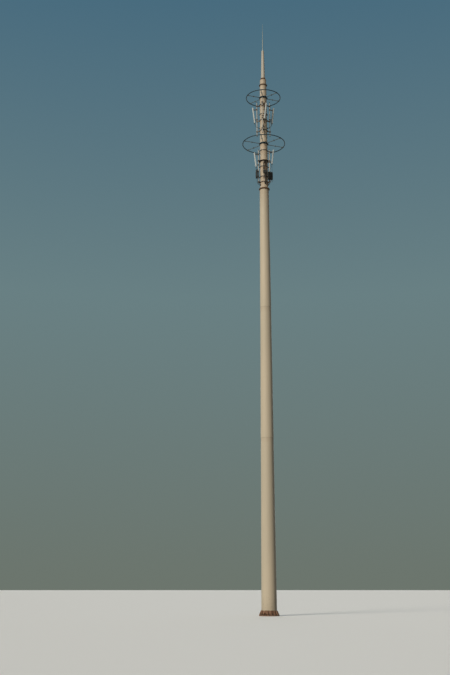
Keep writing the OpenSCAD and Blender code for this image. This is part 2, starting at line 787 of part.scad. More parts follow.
// Jumpers from the lower panels around the radio units, and a trunk from each unit to its port
module lower_jumpers() {
    side = radio_w / 2 + 24;
    out = -radio_back - radio_deep * 0.3;
    mouth = head_r(low_port_z) + port_l;
    color("black") for (i = [0 : 2]) {
        top = radio_z[i] + radio_h / 2;
        foot = radio_z[i] - radio_h / 2;
        end = panel_place(low_panel_z[i], 0, 4 - low_panel_h / 2 - connector_l);
        swing = low_face[i] - radio_face[i];
        for (s = [-1, 1]) {
            start = [for (z = [end[1], end[1] - 60]) from_pipe(0, 0, swing,
                [s * jumper_x, end[0], z])];
            over = swing != 0 && s < 0 ? [[0, out - 6, top + 190]] : [];
            routed(low_az[i], low_pole_r, radio_face[i], concat(start, over, [
                [s * (side - 24), out - 8, top + 34], [s * (side + 4), out, top - 80],
                [s * (side + 4), out, radio_z[i]], [s * side, out, foot - 50],
                [s * (side - 50), out, foot - 140], [s * (side - 90), out, foot - 95],
                [s * (side - 96), out, foot + 6]]), [], jumper_d);
        }
        below = from_pipe(0, 0, radio_face[i] - low_az[i], [0, out, 0]) - [0, low_pole_r, 0];
        routed(low_az[i], low_pole_r, radio_face[i],
            [[0, out, foot + 4], [0, out, foot - 90]],
            [[below[0], below[1], low_port_z + 180], [below[0] / 2, (below[1] - mouth) / 2, low_port_z + 18],
                [0, -mouth - 50, low_port_z - 6], [0, -mouth + 8, low_port_z]], feeder_d);
    }
}

// Feeders: four bow from the upper port to the box's top, three hang from its foot to the lower
module feeder_run() {
    r = head_r(junction_z);
    mid = junction_size[1] / 2;
    top = junction_z + junction_size[2] / 2;
    foot = junction_z - junction_size[2] / 2;
    upper = feeder_port_z[1];
    lower = feeder_port_z[0];
    color("black") facing(feeder_az) {
        for (s = [-1, 1], u = [0, 1]) cable([
            [s * 20, -head_r(upper) - port_l + 8, upper - 17 + 34 * u],
            [s * (32 + 10 * u), -r - 82 - 26 * u, upper - 20 + 34 * u],
            [s * (84 + 30 * u), -r - 78 - 26 * u, upper - 150 + 20 * u],
            [s * (110 + 33 * u), -r - 50 - 10 * u, upper - 330],
            [s * (104 + 33 * u), -r - 42 - 4 * u, top + 155],
            [s * (68 + 34 * u), -r - mid, top + 55],
            [s * (68 + 34 * u), -r - mid, top - 4]], feeder_d, [0, 1, 0], 3);
        for (k = [-1, 0, 1]) cable([
            [k * feeder_pitch, -head_r(lower) - port_l + 8, lower],
            [k * feeder_pitch, -r - 96, lower + 14],
            [k * feeder_pitch, -r - 112, lower + 120],
            [k * feeder_pitch, -r - 66, lower + 320],
            [k * feeder_pitch, -r - 30, low_band_z[0]],
            [k * feeder_pitch, -r - mid, foot - 60],
            [k * feeder_pitch, -r - mid, foot + 4]], feeder_d, [1, 0, 0], 3);
    }
}

base_flange();
base_gussets();
shaft_lower();
shaft_middle();
shaft_upper();
access_frame();
access_cover();
shaft_flange();
head_flange();
head_tube();
neck_flanges();
neck_tube();
spire_flanges();
spire_tube();
lightning_rod();
lower_rim();
lower_spokes();
lower_hub();
lower_rim_clamps();
upper_rim();
upper_spokes();
upper_hub();
upper_rim_clamps();
lower_bands();
upper_bands();
lower_arm_bands();
upper_arm_bands();
lower_standoffs();
upper_standoffs();
lower_pipes();
upper_pipes();
lower_panel_left();
lower_panel_right();
lower_panel_rear();
upper_panel_front();
upper_panel_left();
upper_panel_right();
lower_tilt_brackets();
upper_tilt_brackets();
lower_connectors();
upper_connectors();
radio_left();
radio_right();
radio_rear();
junction_box();
cable_ports();
lower_jumpers();
upper_jumpers();
feeder_run();
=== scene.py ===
"""Looks of the round steel radio mast: finishes for the steelwork, and the fixings on it."""
import bpy
import bmesh
import json
import math
from types import SimpleNamespace as Tier
from mathutils import Matrix, Vector


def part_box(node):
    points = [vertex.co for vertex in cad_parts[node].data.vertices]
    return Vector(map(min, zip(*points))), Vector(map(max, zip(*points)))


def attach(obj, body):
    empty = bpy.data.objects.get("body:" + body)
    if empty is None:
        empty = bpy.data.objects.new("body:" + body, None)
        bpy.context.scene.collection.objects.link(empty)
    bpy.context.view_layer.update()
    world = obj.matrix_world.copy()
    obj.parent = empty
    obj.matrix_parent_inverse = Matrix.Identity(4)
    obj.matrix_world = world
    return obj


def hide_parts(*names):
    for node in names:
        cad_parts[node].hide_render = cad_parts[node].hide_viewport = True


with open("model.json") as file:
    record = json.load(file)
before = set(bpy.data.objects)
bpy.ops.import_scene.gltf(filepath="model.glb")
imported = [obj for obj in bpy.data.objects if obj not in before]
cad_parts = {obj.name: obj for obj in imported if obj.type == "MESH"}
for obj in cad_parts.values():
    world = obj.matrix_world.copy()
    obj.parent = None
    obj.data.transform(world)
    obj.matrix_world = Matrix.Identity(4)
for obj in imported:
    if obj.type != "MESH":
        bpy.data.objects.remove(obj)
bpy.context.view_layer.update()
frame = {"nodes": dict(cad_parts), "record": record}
nodes = frame["nodes"]


# Places and sizes that the mast's drawing gives, in metres and degrees

LOWER = Tier(name="lower", pipe_out=0.410, pipes=(-66, 62, 180), faces=(-88, 88, 180),
             panel_heights=(29.350, 29.540, 29.450), panel_long=1.010, brackets=(-0.380, 0.380),
             arm_heights=(27.755, 29.275), band_heights=(28.150, 28.890, 30.070))
UPPER = Tier(name="upper", pipe_out=0.460, pipes=(-12, -107, 109), faces=(80, -95, 109),
             panel_heights=(32.800, 32.800, 32.800), panel_long=1.150, brackets=(-0.330, 0.425),
             arm_heights=(31.575, 32.340, 33.495), band_heights=(32.780,))
TIERS = (LOWER, UPPER)
FEEDER_AZIMUTH = 12
DOOR_AZIMUTH = 180
SPOKE_AZIMUTHS = [-10 + 60 * i for i in range(6)]
BAND_SPLIT = 90
HUB_SPLIT = 20
BAND_THICK = 0.009
HUB_THICK = 0.012
EAR_LONG = 0.062
EAR_GRIP = 0.034
JAW_BACK = 0.046
RIM_PIPE = 0.060
SOCKET_R = 0.029
PANEL_TILT = 6.6
PANEL_OUT = 0.220
PANEL_DEEP = 0.084
PANEL_WIDE = 0.172
LUG_LONG = 0.040
CONNECTOR_LONG = 0.046
JUMPER_ASIDE = 0.046
RADIO_FACES = (-88, 17, 180)
RADIO_HEIGHTS = (28.320, 28.130, 28.250)
RADIO_SIZE = (0.300, 0.130, 0.560)
RADIO_BACK = 0.060
RADIO_PORTS_OUT = RADIO_BACK + RADIO_SIZE[1] * 0.30
BOX_HEIGHT = 28.450
BOX_SIZE = (0.250, 0.090, 0.170)
JUMPER_THICK = 0.016
FEEDER_THICK = 0.026
FEEDER_PITCH = 0.031
FEEDER_PORTS = (27.640, 29.170)
LOWER_PORT = 27.560
UPPER_PORT = 31.810
PORT_LONG = 0.050
PORT_R = 0.055


# Shader expressions

class Term:
    """A socket that adds Math nodes when it meets an operator."""

    def __init__(self, tree, socket):
        self.tree, self.socket = tree, socket

    def maths(self, operation, *others, clamp=False):
        node = self.tree.nodes.new("ShaderNodeMath")
        node.operation, node.use_clamp = operation, clamp
        for place, value in enumerate((self, *others)):
            feed(self.tree, node.inputs[place], value)
        return Term(self.tree, node.outputs[0])

    def __add__(self, other):
        return self.maths("ADD", other)

    def __sub__(self, other):
        return self.maths("SUBTRACT", other)

    def __rsub__(self, other):
        return self * -1.0 + other

    def __mul__(self, other):
        return self.maths("MULTIPLY", other)

    def __pow__(self, other):
        return self.maths("POWER", other)

    def above(self, other):
        return self.maths("GREATER_THAN", other)

    def below(self, other):
        return self.maths("LESS_THAN", other)

    def highest(self, other):
        return self.maths("MAXIMUM", other)

    def held(self):
        """Itself, kept between 0 and 1."""
        return self.maths("ADD", 0.0, clamp=True)

    __radd__ = __add__
    __rmul__ = __mul__


def feed(tree, socket, value):
    """Links a term to a socket, or sets the socket's own value; a colour is opaque."""
    if isinstance(value, Term):
        tree.links.new(value.socket, socket)
    elif socket.type == "RGBA":
        socket.default_value = (*value, 1.0)
    else:
        socket.default_value = value


class Finish:
    """A material whose shader is written as expressions."""

    def __init__(self, name):
        self.material = bpy.data.materials.new(name)
        self.material.use_nodes = True
        self.tree = self.material.node_tree
        self.shader = self.tree.nodes["Principled BSDF"]

    def node(self, kind, settings=None, out=0, **values):
        """Adds a node, applies its settings, feeds its sockets and returns one output."""
        node = self.tree.nodes.new("ShaderNode" + kind)
        for name, value in (settings or {}).items():
            setattr(node, name, value)
        for name, value in values.items():
            feed(self.tree, node.inputs[name.replace("_", " ")], value)
        return Term(self.tree, node.outputs[out])

    def place(self):
        """Object coordinates."""
        return self.node("TexCoord", out=3)

    def parts(self, vector):
        """A vector's three numbers as terms."""
        node = self.tree.nodes.new("ShaderNodeSeparateXYZ")
        feed(self.tree, node.inputs[0], vector)
        return [Term(self.tree, node.outputs[i]) for i in range(3)]

    def upward(self):
        """How far the surface faces up, from -1 to 1."""
        return self.parts(self.node("TexCoord", out=1))[2]

    def noise(self, scale, detail, roughness):
        """Mottling, the same in all directions."""
        return self.node("TexNoise", Vector=self.place(), Scale=scale, Detail=detail,
                         Roughness=roughness)

    def streaks(self, across, along, detail, roughness):
        """Mottling drawn out up and down, from its scale across and its scale along."""
        where = self.node("Mapping", Vector=self.place(), Scale=(across, across, along))
        return self.node("TexNoise", Vector=where, Scale=1.0, Detail=detail, Roughness=roughness)

    def mix(self, mask, low, high):
        """Colour that goes from low to high as the mask goes from 0 to 1."""
        node = self.tree.nodes.new("ShaderNodeMix")
        node.data_type = "RGBA"
        feed(self.tree, node.inputs["Factor"], mask)
        feed(self.tree, node.inputs[6], low)
        feed(self.tree, node.inputs[7], high)
        return Term(self.tree, node.outputs[2])

    def two_tone(self, pattern, low, high, first, second):
        """Colour that goes from the first to the second as a pattern goes from low to high."""
        return self.mix(self.ramp(pattern, low, high), first, second)

    def ramp(self, value, low, high):
        """0 below low, 1 above high and smooth between."""
        return self.node("MapRange", {"interpolation_type": "SMOOTHSTEP", "clamp": True},
                         Value=value, From_Min=low, From_Max=high)

    def run_below(self, height, edge, length):
        """1 just under an edge, and less down to 0 at the run's length."""
        return self.ramp(height, edge - length, edge) * height.below(edge)

    def bump(self, height):
        """The normal of a surface raised by a height in metres."""
        return self.node("Bump", Height=height, Distance=1.0, Strength=1.0)

    def skin(self, colour, roughness, metallic=0.0, normal=None):
        """Feeds the shader itself and returns the material."""
        feed(self.tree, self.shader.inputs["Base Color"], colour)
        feed(self.tree, self.shader.inputs["Roughness"], roughness)
        feed(self.tree, self.shader.inputs["Metallic"], metallic)
        if normal is not None:
            feed(self.tree, self.shader.inputs["Normal"], normal)
        return self.material


RUST_LIGHT = (0.34, 0.16, 0.065)
RUST_DARK = (0.105, 0.050, 0.025)
RUST_RUN = (0.30, 0.185, 0.095)
PRIMER = (0.20, 0.105, 0.062)
DUST = (0.42, 0.35, 0.25)


# Finishes

def shaft_paint():
    """Cream topcoat on rolled steel, with rain streaks, rust runs and a stained foot."""
    finish = Finish("shaft_paint")
    height = finish.parts(finish.place())[2]
    cloud = finish.noise(5.0, 6.0, 0.62)
    speck = finish.noise(85.0, 4.0, 0.65)
    colour = topcoat(finish, cloud, speck)
    colour = head_stains_and_shade(finish, colour, cloud)
    runs = rust_runs(finish, height)
    colour = finish.mix(runs, colour, RUST_RUN)
    splash = 1.0 - finish.ramp(height + cloud * 0.9, 0.55, 1.75)
    colour = finish.mix(splash * 0.42, colour, DUST)
    knocks = finish.streaks(15.0, 9.0, 6.0, 0.68)
    low_down = 1.0 - finish.ramp(height, 0.9, 2.6)
    chips = finish.ramp(knocks + low_down * 0.07, 0.700, 0.722)
    colour = finish.mix(chips * 0.85, colour, (0.155, 0.080, 0.042))
    primer = 1.0 - finish.ramp(height + cloud * 0.10, 0.355, 0.385)
    primer_colour = finish.two_tone(cloud, 0.40, 0.66, PRIMER, (0.33, 0.195, 0.125))
    colour = finish.mix(primer, colour, primer_colour)
    rough = 0.52 + cloud * 0.16 + primer * 0.30 + runs * 0.25 + chips * 0.20
    peel = finish.noise(420.0, 2.0, 0.5)
    rolled = finish.streaks(1.6, 0.35, 2.0, 0.5)
    relief = peel * 0.00035 + rolled * 0.0040 + speck * primer * 0.0012 - chips * 0.0006
    return finish.skin(colour, rough, normal=finish.bump(relief))


def topcoat(finish, cloud, speck):
    """The paint's own colour, with rain streaks, dust and specks of dirt."""
    broad = finish.streaks(1.1, 0.16, 3.0, 0.55)
    streak = finish.streaks(26.0, 0.55, 5.0, 0.6)
    colour = finish.two_tone(broad, 0.34, 0.66, (0.590, 0.515, 0.385), (0.655, 0.560, 0.415))
    colour = finish.mix(finish.ramp(streak, 0.54, 0.80) * 0.34, colour, (0.40, 0.35, 0.27))
    colour = finish.mix(finish.ramp(cloud, 0.58, 0.80) * 0.16, colour, DUST)
    return finish.mix(finish.ramp(speck, 0.66, 0.74) * 0.30, colour, (0.33, 0.28, 0.21))


def head_stains_and_shade(finish, colour, cloud):
    """Brown on the head, paler paint on the spire, and painted shade beside the feeders: a dark ragged
    band where the feeders and radios shade the tube.
    """
    aside, back, height = finish.parts(finish.place())
    flange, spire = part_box("head_flange")[0].z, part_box("spire_tube")[0].z
    stained = height.above(flange) * height.below(spire)
    colour = finish.mix(stained * (0.16 + finish.ramp(cloud, 0.40, 0.68) * 0.34), colour,
                        (0.42, 0.275, 0.175))
    colour = finish.mix(height.above(spire) * 0.65, colour, (0.480, 0.455, 0.400))
    # Painted shade: a dark ragged band beside the feeders stands in for the shade that the feeder
    # bundle and radio units cast on the tube.
    ragged = aside + (cloud - 0.5) * 0.10
    beside = finish.ramp(ragged, -0.11, -0.05) * (1.0 - finish.ramp(ragged, 0.13, 0.20))
    low, high = LOWER.arm_heights
    between = finish.ramp(height, low + 0.05, low + 0.30) * height.below(high)
    painted_feeder_shade = beside * back.below(0.0) * between
    return finish.mix(painted_feeder_shade * (0.50 + finish.ramp(cloud, 0.35, 0.65) * 0.38), colour,
                      (0.080, 0.052, 0.027))


def rust_runs(finish, height):
    """How much rust has run down over the paint, from 0 to 1."""
    drip = finish.streaks(46.0, 1.1, 3.0, 0.5)
    rusty = 0.25 + finish.ramp(drip, 0.50, 0.68) * 0.75
    runs = None
    for edge, length, strength in rust_edges():
        run = finish.run_below(height, edge, length) * rusty * strength
        runs = run if runs is None else runs.highest(run)
    return runs


def rust_edges():
    """Heights that rust runs down from, with each run's length and strength."""
    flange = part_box("shaft_flange")[0].z
    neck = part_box("neck_flanges")[0].z
    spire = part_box("spire_flanges")[0].z
    strong, faint, half_band = 0.62, 0.40, 0.036
    edges = [(flange, 1.8, strong), (neck, 0.40, strong), (spire, 0.30, strong)]
    edges += [(height - half_band, 0.26, strong) for tier in TIERS
              for height in tier.arm_heights + tier.band_heights]
    for ring in ("lower_hub", "upper_hub"):
        edges.append((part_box(ring)[0].z, 0.45, strong))
    for joint in ("shaft_middle", "shaft_upper"):
        edges.append((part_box(joint)[0].z, 0.45, faint))
    return edges


def foot_steel():
    """Brown primer and rust on the foot, with dust lying on it."""
    finish = Finish("foot_steel")
    cloud = finish.noise(9.0, 6.0, 0.62)
    grain = finish.noise(130.0, 5.0, 0.65)
    pit = finish.noise(330.0, 2.0, 0.5)
    colour = finish.two_tone(cloud, 0.40, 0.62, PRIMER, (0.35, 0.21, 0.135))
    colour = finish.mix(finish.ramp(grain, 0.52, 0.70) * 0.55, colour, RUST_LIGHT)
    colour = finish.mix(finish.ramp(pit, 0.60, 0.72) * 0.50, colour, RUST_DARK)
    colour = finish.mix(finish.ramp(finish.upward(), 0.55, 1.0) * (0.25 + cloud * 0.5), colour, DUST)
    normal = finish.bump(grain * 0.0012 + pit * 0.0006)
    return finish.skin(colour, 0.72 + grain * 0.2, normal=normal)


def flange_steel():
    """Bare steel that has rusted brown, darker in the pits."""
    finish = Finish("flange_steel")
    cloud = finish.noise(14.0, 6.0, 0.62)
    grain = finish.noise(160.0, 5.0, 0.65)
    pit = finish.noise(420.0, 2.0, 0.5)
    colour = finish.two_tone(cloud, 0.38, 0.64, (0.090, 0.044, 0.018), (0.195, 0.098, 0.040))
    colour = finish.mix(finish.ramp(grain, 0.54, 0.72) * 0.55, colour, RUST_LIGHT)
    colour = finish.mix(finish.ramp(pit, 0.60, 0.74) * 0.45, colour, (0.04, 0.022, 0.014))
    normal = finish.bump(grain * 0.0010 + pit * 0.0005)
    return finish.skin(colour, 0.66 + grain * 0.24, normal=normal)


def clamp_steel():
    """Zinc on clamps and arms, worn through to brown rust in patches."""
    finish = Finish("clamp_steel")
    cloud = finish.noise(11.0, 6.0, 0.60)
    grain = finish.noise(180.0, 5.0, 0.62)
    worn = finish.ramp(cloud + (grain - 0.5) * 0.25, 0.46, 0.60)
    colour = finish.two_tone(grain, 0.35, 0.70, (0.085, 0.080, 0.070), (0.150, 0.142, 0.125))
    rust = finish.two_tone(grain, 0.40, 0.66, (0.070, 0.036, 0.018), (0.165, 0.083, 0.036))
    colour = finish.mix(worn, colour, rust)
    normal = finish.bump(grain * 0.0006)
    return finish.skin(colour, 0.50 + worn * 0.28 + grain * 0.12, metallic=(1.0 - worn) * 0.55,
                       normal=normal)


def on_spokes(finish):
    """1 between a ring's hub and its rim, and 0 elsewhere."""
    aside, back, height = finish.parts(finish.place())
    out = (aside * aside + back * back) ** 0.5
    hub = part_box("lower_hub")[1].x
    small, large = [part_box(ring)[1].x - RIM_PIPE for ring in ("upper_rim", "lower_rim")]
    under_upper_ring = height.below(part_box("upper_rim")[0].z - 1.0)
    rim = under_upper_ring * (large - small) + small
    return out.above(hub) * out.below(rim)


def zinc_coat(name, dull, bright, patch, metal, spangle_scale, spokes=None):
    """Hot-dip zinc: crystals of different greys, patches, specks of rust and the spokes' own tone."""
    finish = Finish(name)
    crystal = finish.node("TexVoronoi", {"feature": "F1"}, out=1, Vector=finish.place(),
                          Scale=spangle_scale)
    tone = finish.parts(crystal)[0]
    cloud = finish.noise(7.0, 6.0, 0.60)
    grain = finish.noise(240.0, 3.0, 0.60)
    colour = finish.mix(0.25 + tone * 0.5, dull, bright)
    colour = finish.mix(finish.ramp(cloud, 0.50, 0.74) * 0.55, colour, patch)
    if spokes:
        colour = finish.mix(on_spokes(finish) * (0.60 + tone * 0.40), colour, spokes)
    colour = finish.mix(finish.ramp(grain, 0.62, 0.74) * 0.35, colour, RUST_DARK)
    normal = finish.bump(grain * 0.0003 + tone * 0.0002)
    return finish.skin(colour, 0.42 + tone * 0.12 + cloud * 0.18, metallic=metal, normal=normal)


def ring_galvanised():
    """Dark zinc of the ring frames, with paler spokes."""
    return zinc_coat("ring_galvanised", (0.020, 0.042, 0.053), (0.041, 0.080, 0.099),
                     (0.023, 0.035, 0.039), 0.45, 55.0, (0.165, 0.182, 0.170))


def pipe_steel():
    """Pale coat of the antenna pipes."""
    return zinc_coat("pipe_steel", (0.44, 0.42, 0.375), (0.56, 0.535, 0.475),
                     (0.36, 0.33, 0.28), 0.20, 60.0)


def rod_steel():
    """Grey-green zinc of the lightning rod."""
    return zinc_coat("rod_steel", (0.250, 0.290, 0.270), (0.350, 0.385, 0.355),
                     (0.190, 0.215, 0.190), 0.35, 70.0)


def bolt_zinc():
    """Brighter zinc of bolts and nuts."""
    return zinc_coat("bolt_zinc", (0.25, 0.245, 0.225), (0.38, 0.37, 0.34),
                     (0.16, 0.10, 0.06), 0.60, 90.0)


def radome_white():
    """Off-white moulded plastic with rain-washed dirt and a faint drawn grain along it."""
    finish = Finish("radome_white")
    drawn = finish.streaks(150.0, 3.0, 3.0, 0.5)
    wash = finish.streaks(34.0, 2.2, 5.0, 0.6)
    cloud = finish.noise(16.0, 5.0, 0.6)
    colour = finish.two_tone(cloud, 0.35, 0.65, (0.54, 0.585, 0.57), (0.60, 0.64, 0.62))
    colour = finish.mix(finish.ramp(wash, 0.54, 0.78) * 0.45, colour, (0.39, 0.39, 0.34))
    normal = finish.bump(drawn * 0.00025)
    return finish.skin(colour, 0.46 + cloud * 0.14, normal=normal)


def tray_metal():
    """Bare aluminium sheet, dull grey-brown from the weather."""
    finish = Finish("tray_metal")
    rolled = finish.streaks(120.0, 2.5, 3.0, 0.5)
    cloud = finish.noise(12.0, 5.0, 0.6)
    colour = finish.two_tone(cloud, 0.36, 0.66, (0.125, 0.120, 0.105), (0.190, 0.182, 0.162))
    return finish.skin(colour, 0.48 + cloud * 0.2, metallic=0.55,
                       normal=finish.bump(rolled * 0.0003))


def connector_metal():
    """Plated brass of the plugs, dull from the weather."""
    finish = Finish("connector_metal")
    cloud = finish.noise(60.0, 5.0, 0.6)
    grain = finish.noise(500.0, 2.0, 0.5)
    colour = finish.two_tone(cloud, 0.4, 0.65, (0.240, 0.225, 0.190), (0.140, 0.120, 0.090))
    return finish.skin(colour, 0.34 + cloud * 0.2, metallic=0.85,
                       normal=finish.bump(grain * 0.0002))


def radio_casting():
    """Powder-coated aluminium casting, dark grey, with dust in the fins."""
    finish = Finish("radio_casting")
    cloud = finish.noise(13.0, 5.0, 0.6)
    sand = finish.noise(420.0, 3.0, 0.6)
    colour = finish.two_tone(cloud, 0.36, 0.66, (0.020, 0.023, 0.022), (0.038, 0.040, 0.038))
    dusty = finish.ramp(finish.upward(), 0.2, 0.9) * 0.45 + finish.ramp(sand, 0.60, 0.72) * 0.08
    colour = finish.mix(dusty.held(), colour, (0.16, 0.13, 0.095))
    return finish.skin(colour, 0.56 + cloud * 0.16, normal=finish.bump(sand * 0.0005))


def cable_sheath():
    """Black polyethylene gone slightly brown and chalky."""
    finish = Finish("cable_sheath")
    cloud = finish.noise(24.0, 5.0, 0.6)
    scuff = finish.noise(220.0, 4.0, 0.65)
    colour = finish.two_tone(cloud, 0.40, 0.66, (0.012, 0.010, 0.007), (0.030, 0.022, 0.013))
    colour = finish.mix(finish.ramp(scuff, 0.62, 0.76) * 0.3, colour, (0.085, 0.065, 0.042))
    return finish.skin(colour, 0.46 + cloud * 0.2, normal=finish.bump(scuff * 0.0003))


def black_rubber():
    """Boots, seals and caps, matt with a little bloom."""
    finish = Finish("black_rubber")
    cloud = finish.noise(40.0, 5.0, 0.6)
    sand = finish.noise(600.0, 2.0, 0.5)
    colour = finish.two_tone(cloud, 0.42, 0.70, (0.018, 0.018, 0.018), (0.050, 0.048, 0.044))
    return finish.skin(colour, 0.66 + cloud * 0.2, normal=finish.bump(sand * 0.0003))


def joint_sealant():
    """Grey bead under each slip joint's lip."""
    finish = Finish("joint_sealant")
    cloud = finish.noise(30.0, 5.0, 0.6)
    colour = finish.two_tone(cloud, 0.38, 0.66, (0.16, 0.145, 0.115), (0.28, 0.25, 0.20))
    return finish.skin(colour, 0.70 + cloud * 0.15, normal=finish.bump(cloud * 0.002))


FINISHES = {make.__name__: make() for make in (
    shaft_paint, foot_steel, flange_steel, rod_steel, ring_galvanised, clamp_steel, pipe_steel,
    radome_white, connector_metal, radio_casting, cable_sheath)}
BOLT_ZINC = bolt_zinc()
RUBBER = black_rubber()
SEALANT = joint_sealant()
TRAY_METAL = tray_metal()


def dress_nodes():
    """Gives each node of the frame the finish of its slot."""
    for part in frame["record"]["subparts"]:
        materials = nodes[part["node"]].data.materials
        materials.clear()
        materials.append(FINISHES[part["material_slot"]])


# Places on the mast

def rotation(degrees, axis):
    return Matrix.Rotation(math.radians(degrees), 4, axis)


OUTWARD = rotation(90, "X")
ACROSS = rotation(90, "Y")
UPSIDE_DOWN = rotation(180, "X")
INWARD = rotation(-90, "X")


def facing(azimuth):
    """Turns the mast's front, -Y, to an azimuth."""
    return rotation(azimuth, "Z")


def sideways(side):
    """Turns what points up to the left or the right."""
    return rotation(90 * side, "Y")


def placed(base, aside, out, up, turn=None):
    """A place in a frame whose front is -Y, after an optional turn of what is put there."""
    place = base @ Matrix.Translation((aside, -out, up))
    return place @ turn if turn else place


def spot(azimuth, out, up, aside=0.0, turn=None):
    """A place at a distance out from the mast's axis."""
    return placed(facing(azimuth), aside, out, up, turn)


def pipe_frame(tier, index, face=None):
    """The frame of an antenna pipe: its axis, with the front towards what it carries."""
    azimuth = tier.pipes[index]
    face = tier.faces[index] if face is None else face
    return spot(azimuth, tier.pipe_out, 0.0, 0.0, facing(face - azimuth))


def panel_frame(tier, index):
    """The frame of a panel antenna: its middle, leaning out at the top."""
    lean = rotation(PANEL_TILT, "X")
    return placed(pipe_frame(tier, index), 0.0, PANEL_OUT, tier.panel_heights[index], lean)


def radio_frame(index):
    """The frame of a radio unit: the pipe's axis at the unit's middle height."""
    return placed(pipe_frame(LOWER, index, RADIO_FACES[index]), 0.0, 0.0, RADIO_HEIGHTS[index])


def reach(node, height):
    """Largest distance from the axis of a node's corners at a height."""
    slack = 0.002
    corners = [corner.co for corner in nodes[node].data.vertices]
    return max(math.hypot(c.x, c.y) for c in corners if abs(c.z - height) < slack)


class Taper:
    """Outer radius of a tapered tube at any height."""

    def __init__(self, node):
        self.low, self.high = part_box(node)[0].z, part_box(node)[1].z
        self.foot, self.top = reach(node, self.low), reach(node, self.high)

    def at(self, height):
        share = (height - self.low) / (self.high - self.low)
        return self.foot + (self.top - self.foot) * share


SHAFT = [Taper(name) for name in ("shaft_lower", "shaft_middle", "shaft_upper")]
HEAD = Taper("head_tube")


# Shapes

def drum(shape, radius, low, high, sides, chamfer=0.0, place=None):
    """Adds an upright drum, its upper edge broken by a chamfer."""
    middle = Matrix.Translation((0, 0, (low + high) / 2))
    made = bmesh.ops.create_cone(shape, cap_ends=True, segments=sides, radius1=radius,
                                 radius2=radius, depth=high - low, matrix=middle)["verts"]
    if chamfer:
        upper = {corner for corner in made if abs(corner.co.z - high) < 1e-6}
        rims = [edge for edge in shape.edges if upper.issuperset(edge.verts)]
        made = made + bmesh.ops.bevel(shape, geom=rims, offset=chamfer, segments=1, profile=0.5,
                                      affect="EDGES", material=-1)["verts"]
    if place:
        bmesh.ops.transform(shape, matrix=place, verts=[v for v in set(made) if v.is_valid])


def block(shape, size, place, chamfer, segments=1):
    """Adds a block with its middle at a place and its edges broken."""
    corners = bmesh.ops.create_cube(shape, size=1.0)["verts"]
    bmesh.ops.scale(shape, vec=size, verts=corners)
    own = set(corners)
    edges = [edge for edge in shape.edges if own.issuperset(edge.verts)]
    corners = bmesh.ops.bevel(shape, geom=edges, offset=chamfer, segments=segments,
                              profile=0.5, affect="EDGES", material=-1)["verts"]
    bmesh.ops.transform(shape, matrix=place, verts=corners)


def turned(profile, steps=24, ring=False):
    """A solid of revolution about Z, from an outline of radius and height."""
    shape = bmesh.new()
    points = [shape.verts.new((radius, 0.0, height)) for radius, height in profile]
    pairs = list(zip(points, points[1:]))
    if ring:
        pairs.append((points[-1], points[0]))
    lines = [shape.edges.new(pair) for pair in pairs]
    bmesh.ops.spin(shape, geom=points + lines, axis=(0, 0, 1), cent=(0, 0, 0),
                   angle=math.tau, steps=steps, use_merge=True)
    bmesh.ops.remove_doubles(shape, verts=shape.verts[:], dist=1e-5)
    bmesh.ops.recalc_face_normals(shape, faces=shape.faces[:])
    return shape


def as_mesh(shape, name="pattern"):
    """A mesh that takes over a shape."""
    mesh = bpy.data.meshes.new(name)
    shape.to_mesh(mesh)
    shape.free()
    return mesh


def in_scene(name, data):
    """A new object of the scene."""
    item = bpy.data.objects.new(name, data)
    bpy.context.scene.collection.objects.link(item)
    return item


def repeated(shape, places):
    """One shape with a copy of the first at each place."""
    mesh = as_mesh(shape)
    whole = bmesh.new()
    for place in places:
        before = len(whole.verts)
        whole.from_mesh(mesh)
        whole.verts.ensure_lookup_table()
        bmesh.ops.transform(whole, matrix=place, verts=whole.verts[before:])
    bpy.data.meshes.remove(mesh)
    return whole


def joined(*shapes):
    """One shape made of several."""
    whole = bmesh.new()
    for shape in shapes:
        mesh = as_mesh(shape)
        whole.from_mesh(mesh)
        bpy.data.meshes.remove(mesh)
    return whole


def piece(name, shape, slot, finish=None, round_under=40.0):
    """Shows a shape as a piece, parented to the root body's empty."""
    mesh = as_mesh(shape, name)
    mesh.shade_smooth()
    mesh.set_sharp_from_angle(angle=math.radians(round_under))
    mesh.materials.append(finish or FINISHES[slot])
    item = in_scene(name, mesh)
    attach(item, "root")
    return item


# Bolts, all sized from the width across their flats

def hexagon(shape, flats, low, high, chamfer=0.10):
    """Adds a nut or a bolt's head."""
    drum(shape, flats / math.sqrt(3), low, high, 6, flats * chamfer)


def bolt(flats, grip=None):
    """A bolt along Z: its head over z = 0, and its nut and thread end under the grip, if any."""
    washer_r, washer_t = flats * 0.63, flats * 0.12
    shape = bmesh.new()
    drum(shape, washer_r, 0.0, washer_t, 16)
    hexagon(shape, flats, washer_t, washer_t + flats * 0.42)
    if grip:
        under = Matrix.Translation((0, 0, -grip)) @ UPSIDE_DOWN
        tail = bmesh.new()
        drum(tail, washer_r, 0.0, washer_t, 16)
        hexagon(tail, flats, washer_t, washer_t + flats * 0.54)
        drum(tail, flats * 0.33, washer_t, washer_t + flats * 0.80, 10, flats * 0.05)
        shape = joined(shape, repeated(tail, [under]))
    return shape


def bolts(flats, places, grip=None):
    """The same bolt at each place, or only its head where it is given no grip."""
    return repeated(bolt(flats, grip), places)


def circle_places(count, out, up, first=0.0):
    """Places on a circle round the mast's axis."""
    return [spot(first + i * 360 / count, out, up) for i in range(count)]


def face_circle(azimuth, out, up, count, radius):
    """Places on a circle that lies on a face looking outwards."""
    angles = [math.radians((i + 0.5) * 360 / count) for i in range(count)]
    return [spot(azimuth, out, up + radius * math.sin(angle), radius * math.cos(angle), OUTWARD)
            for angle in angles]


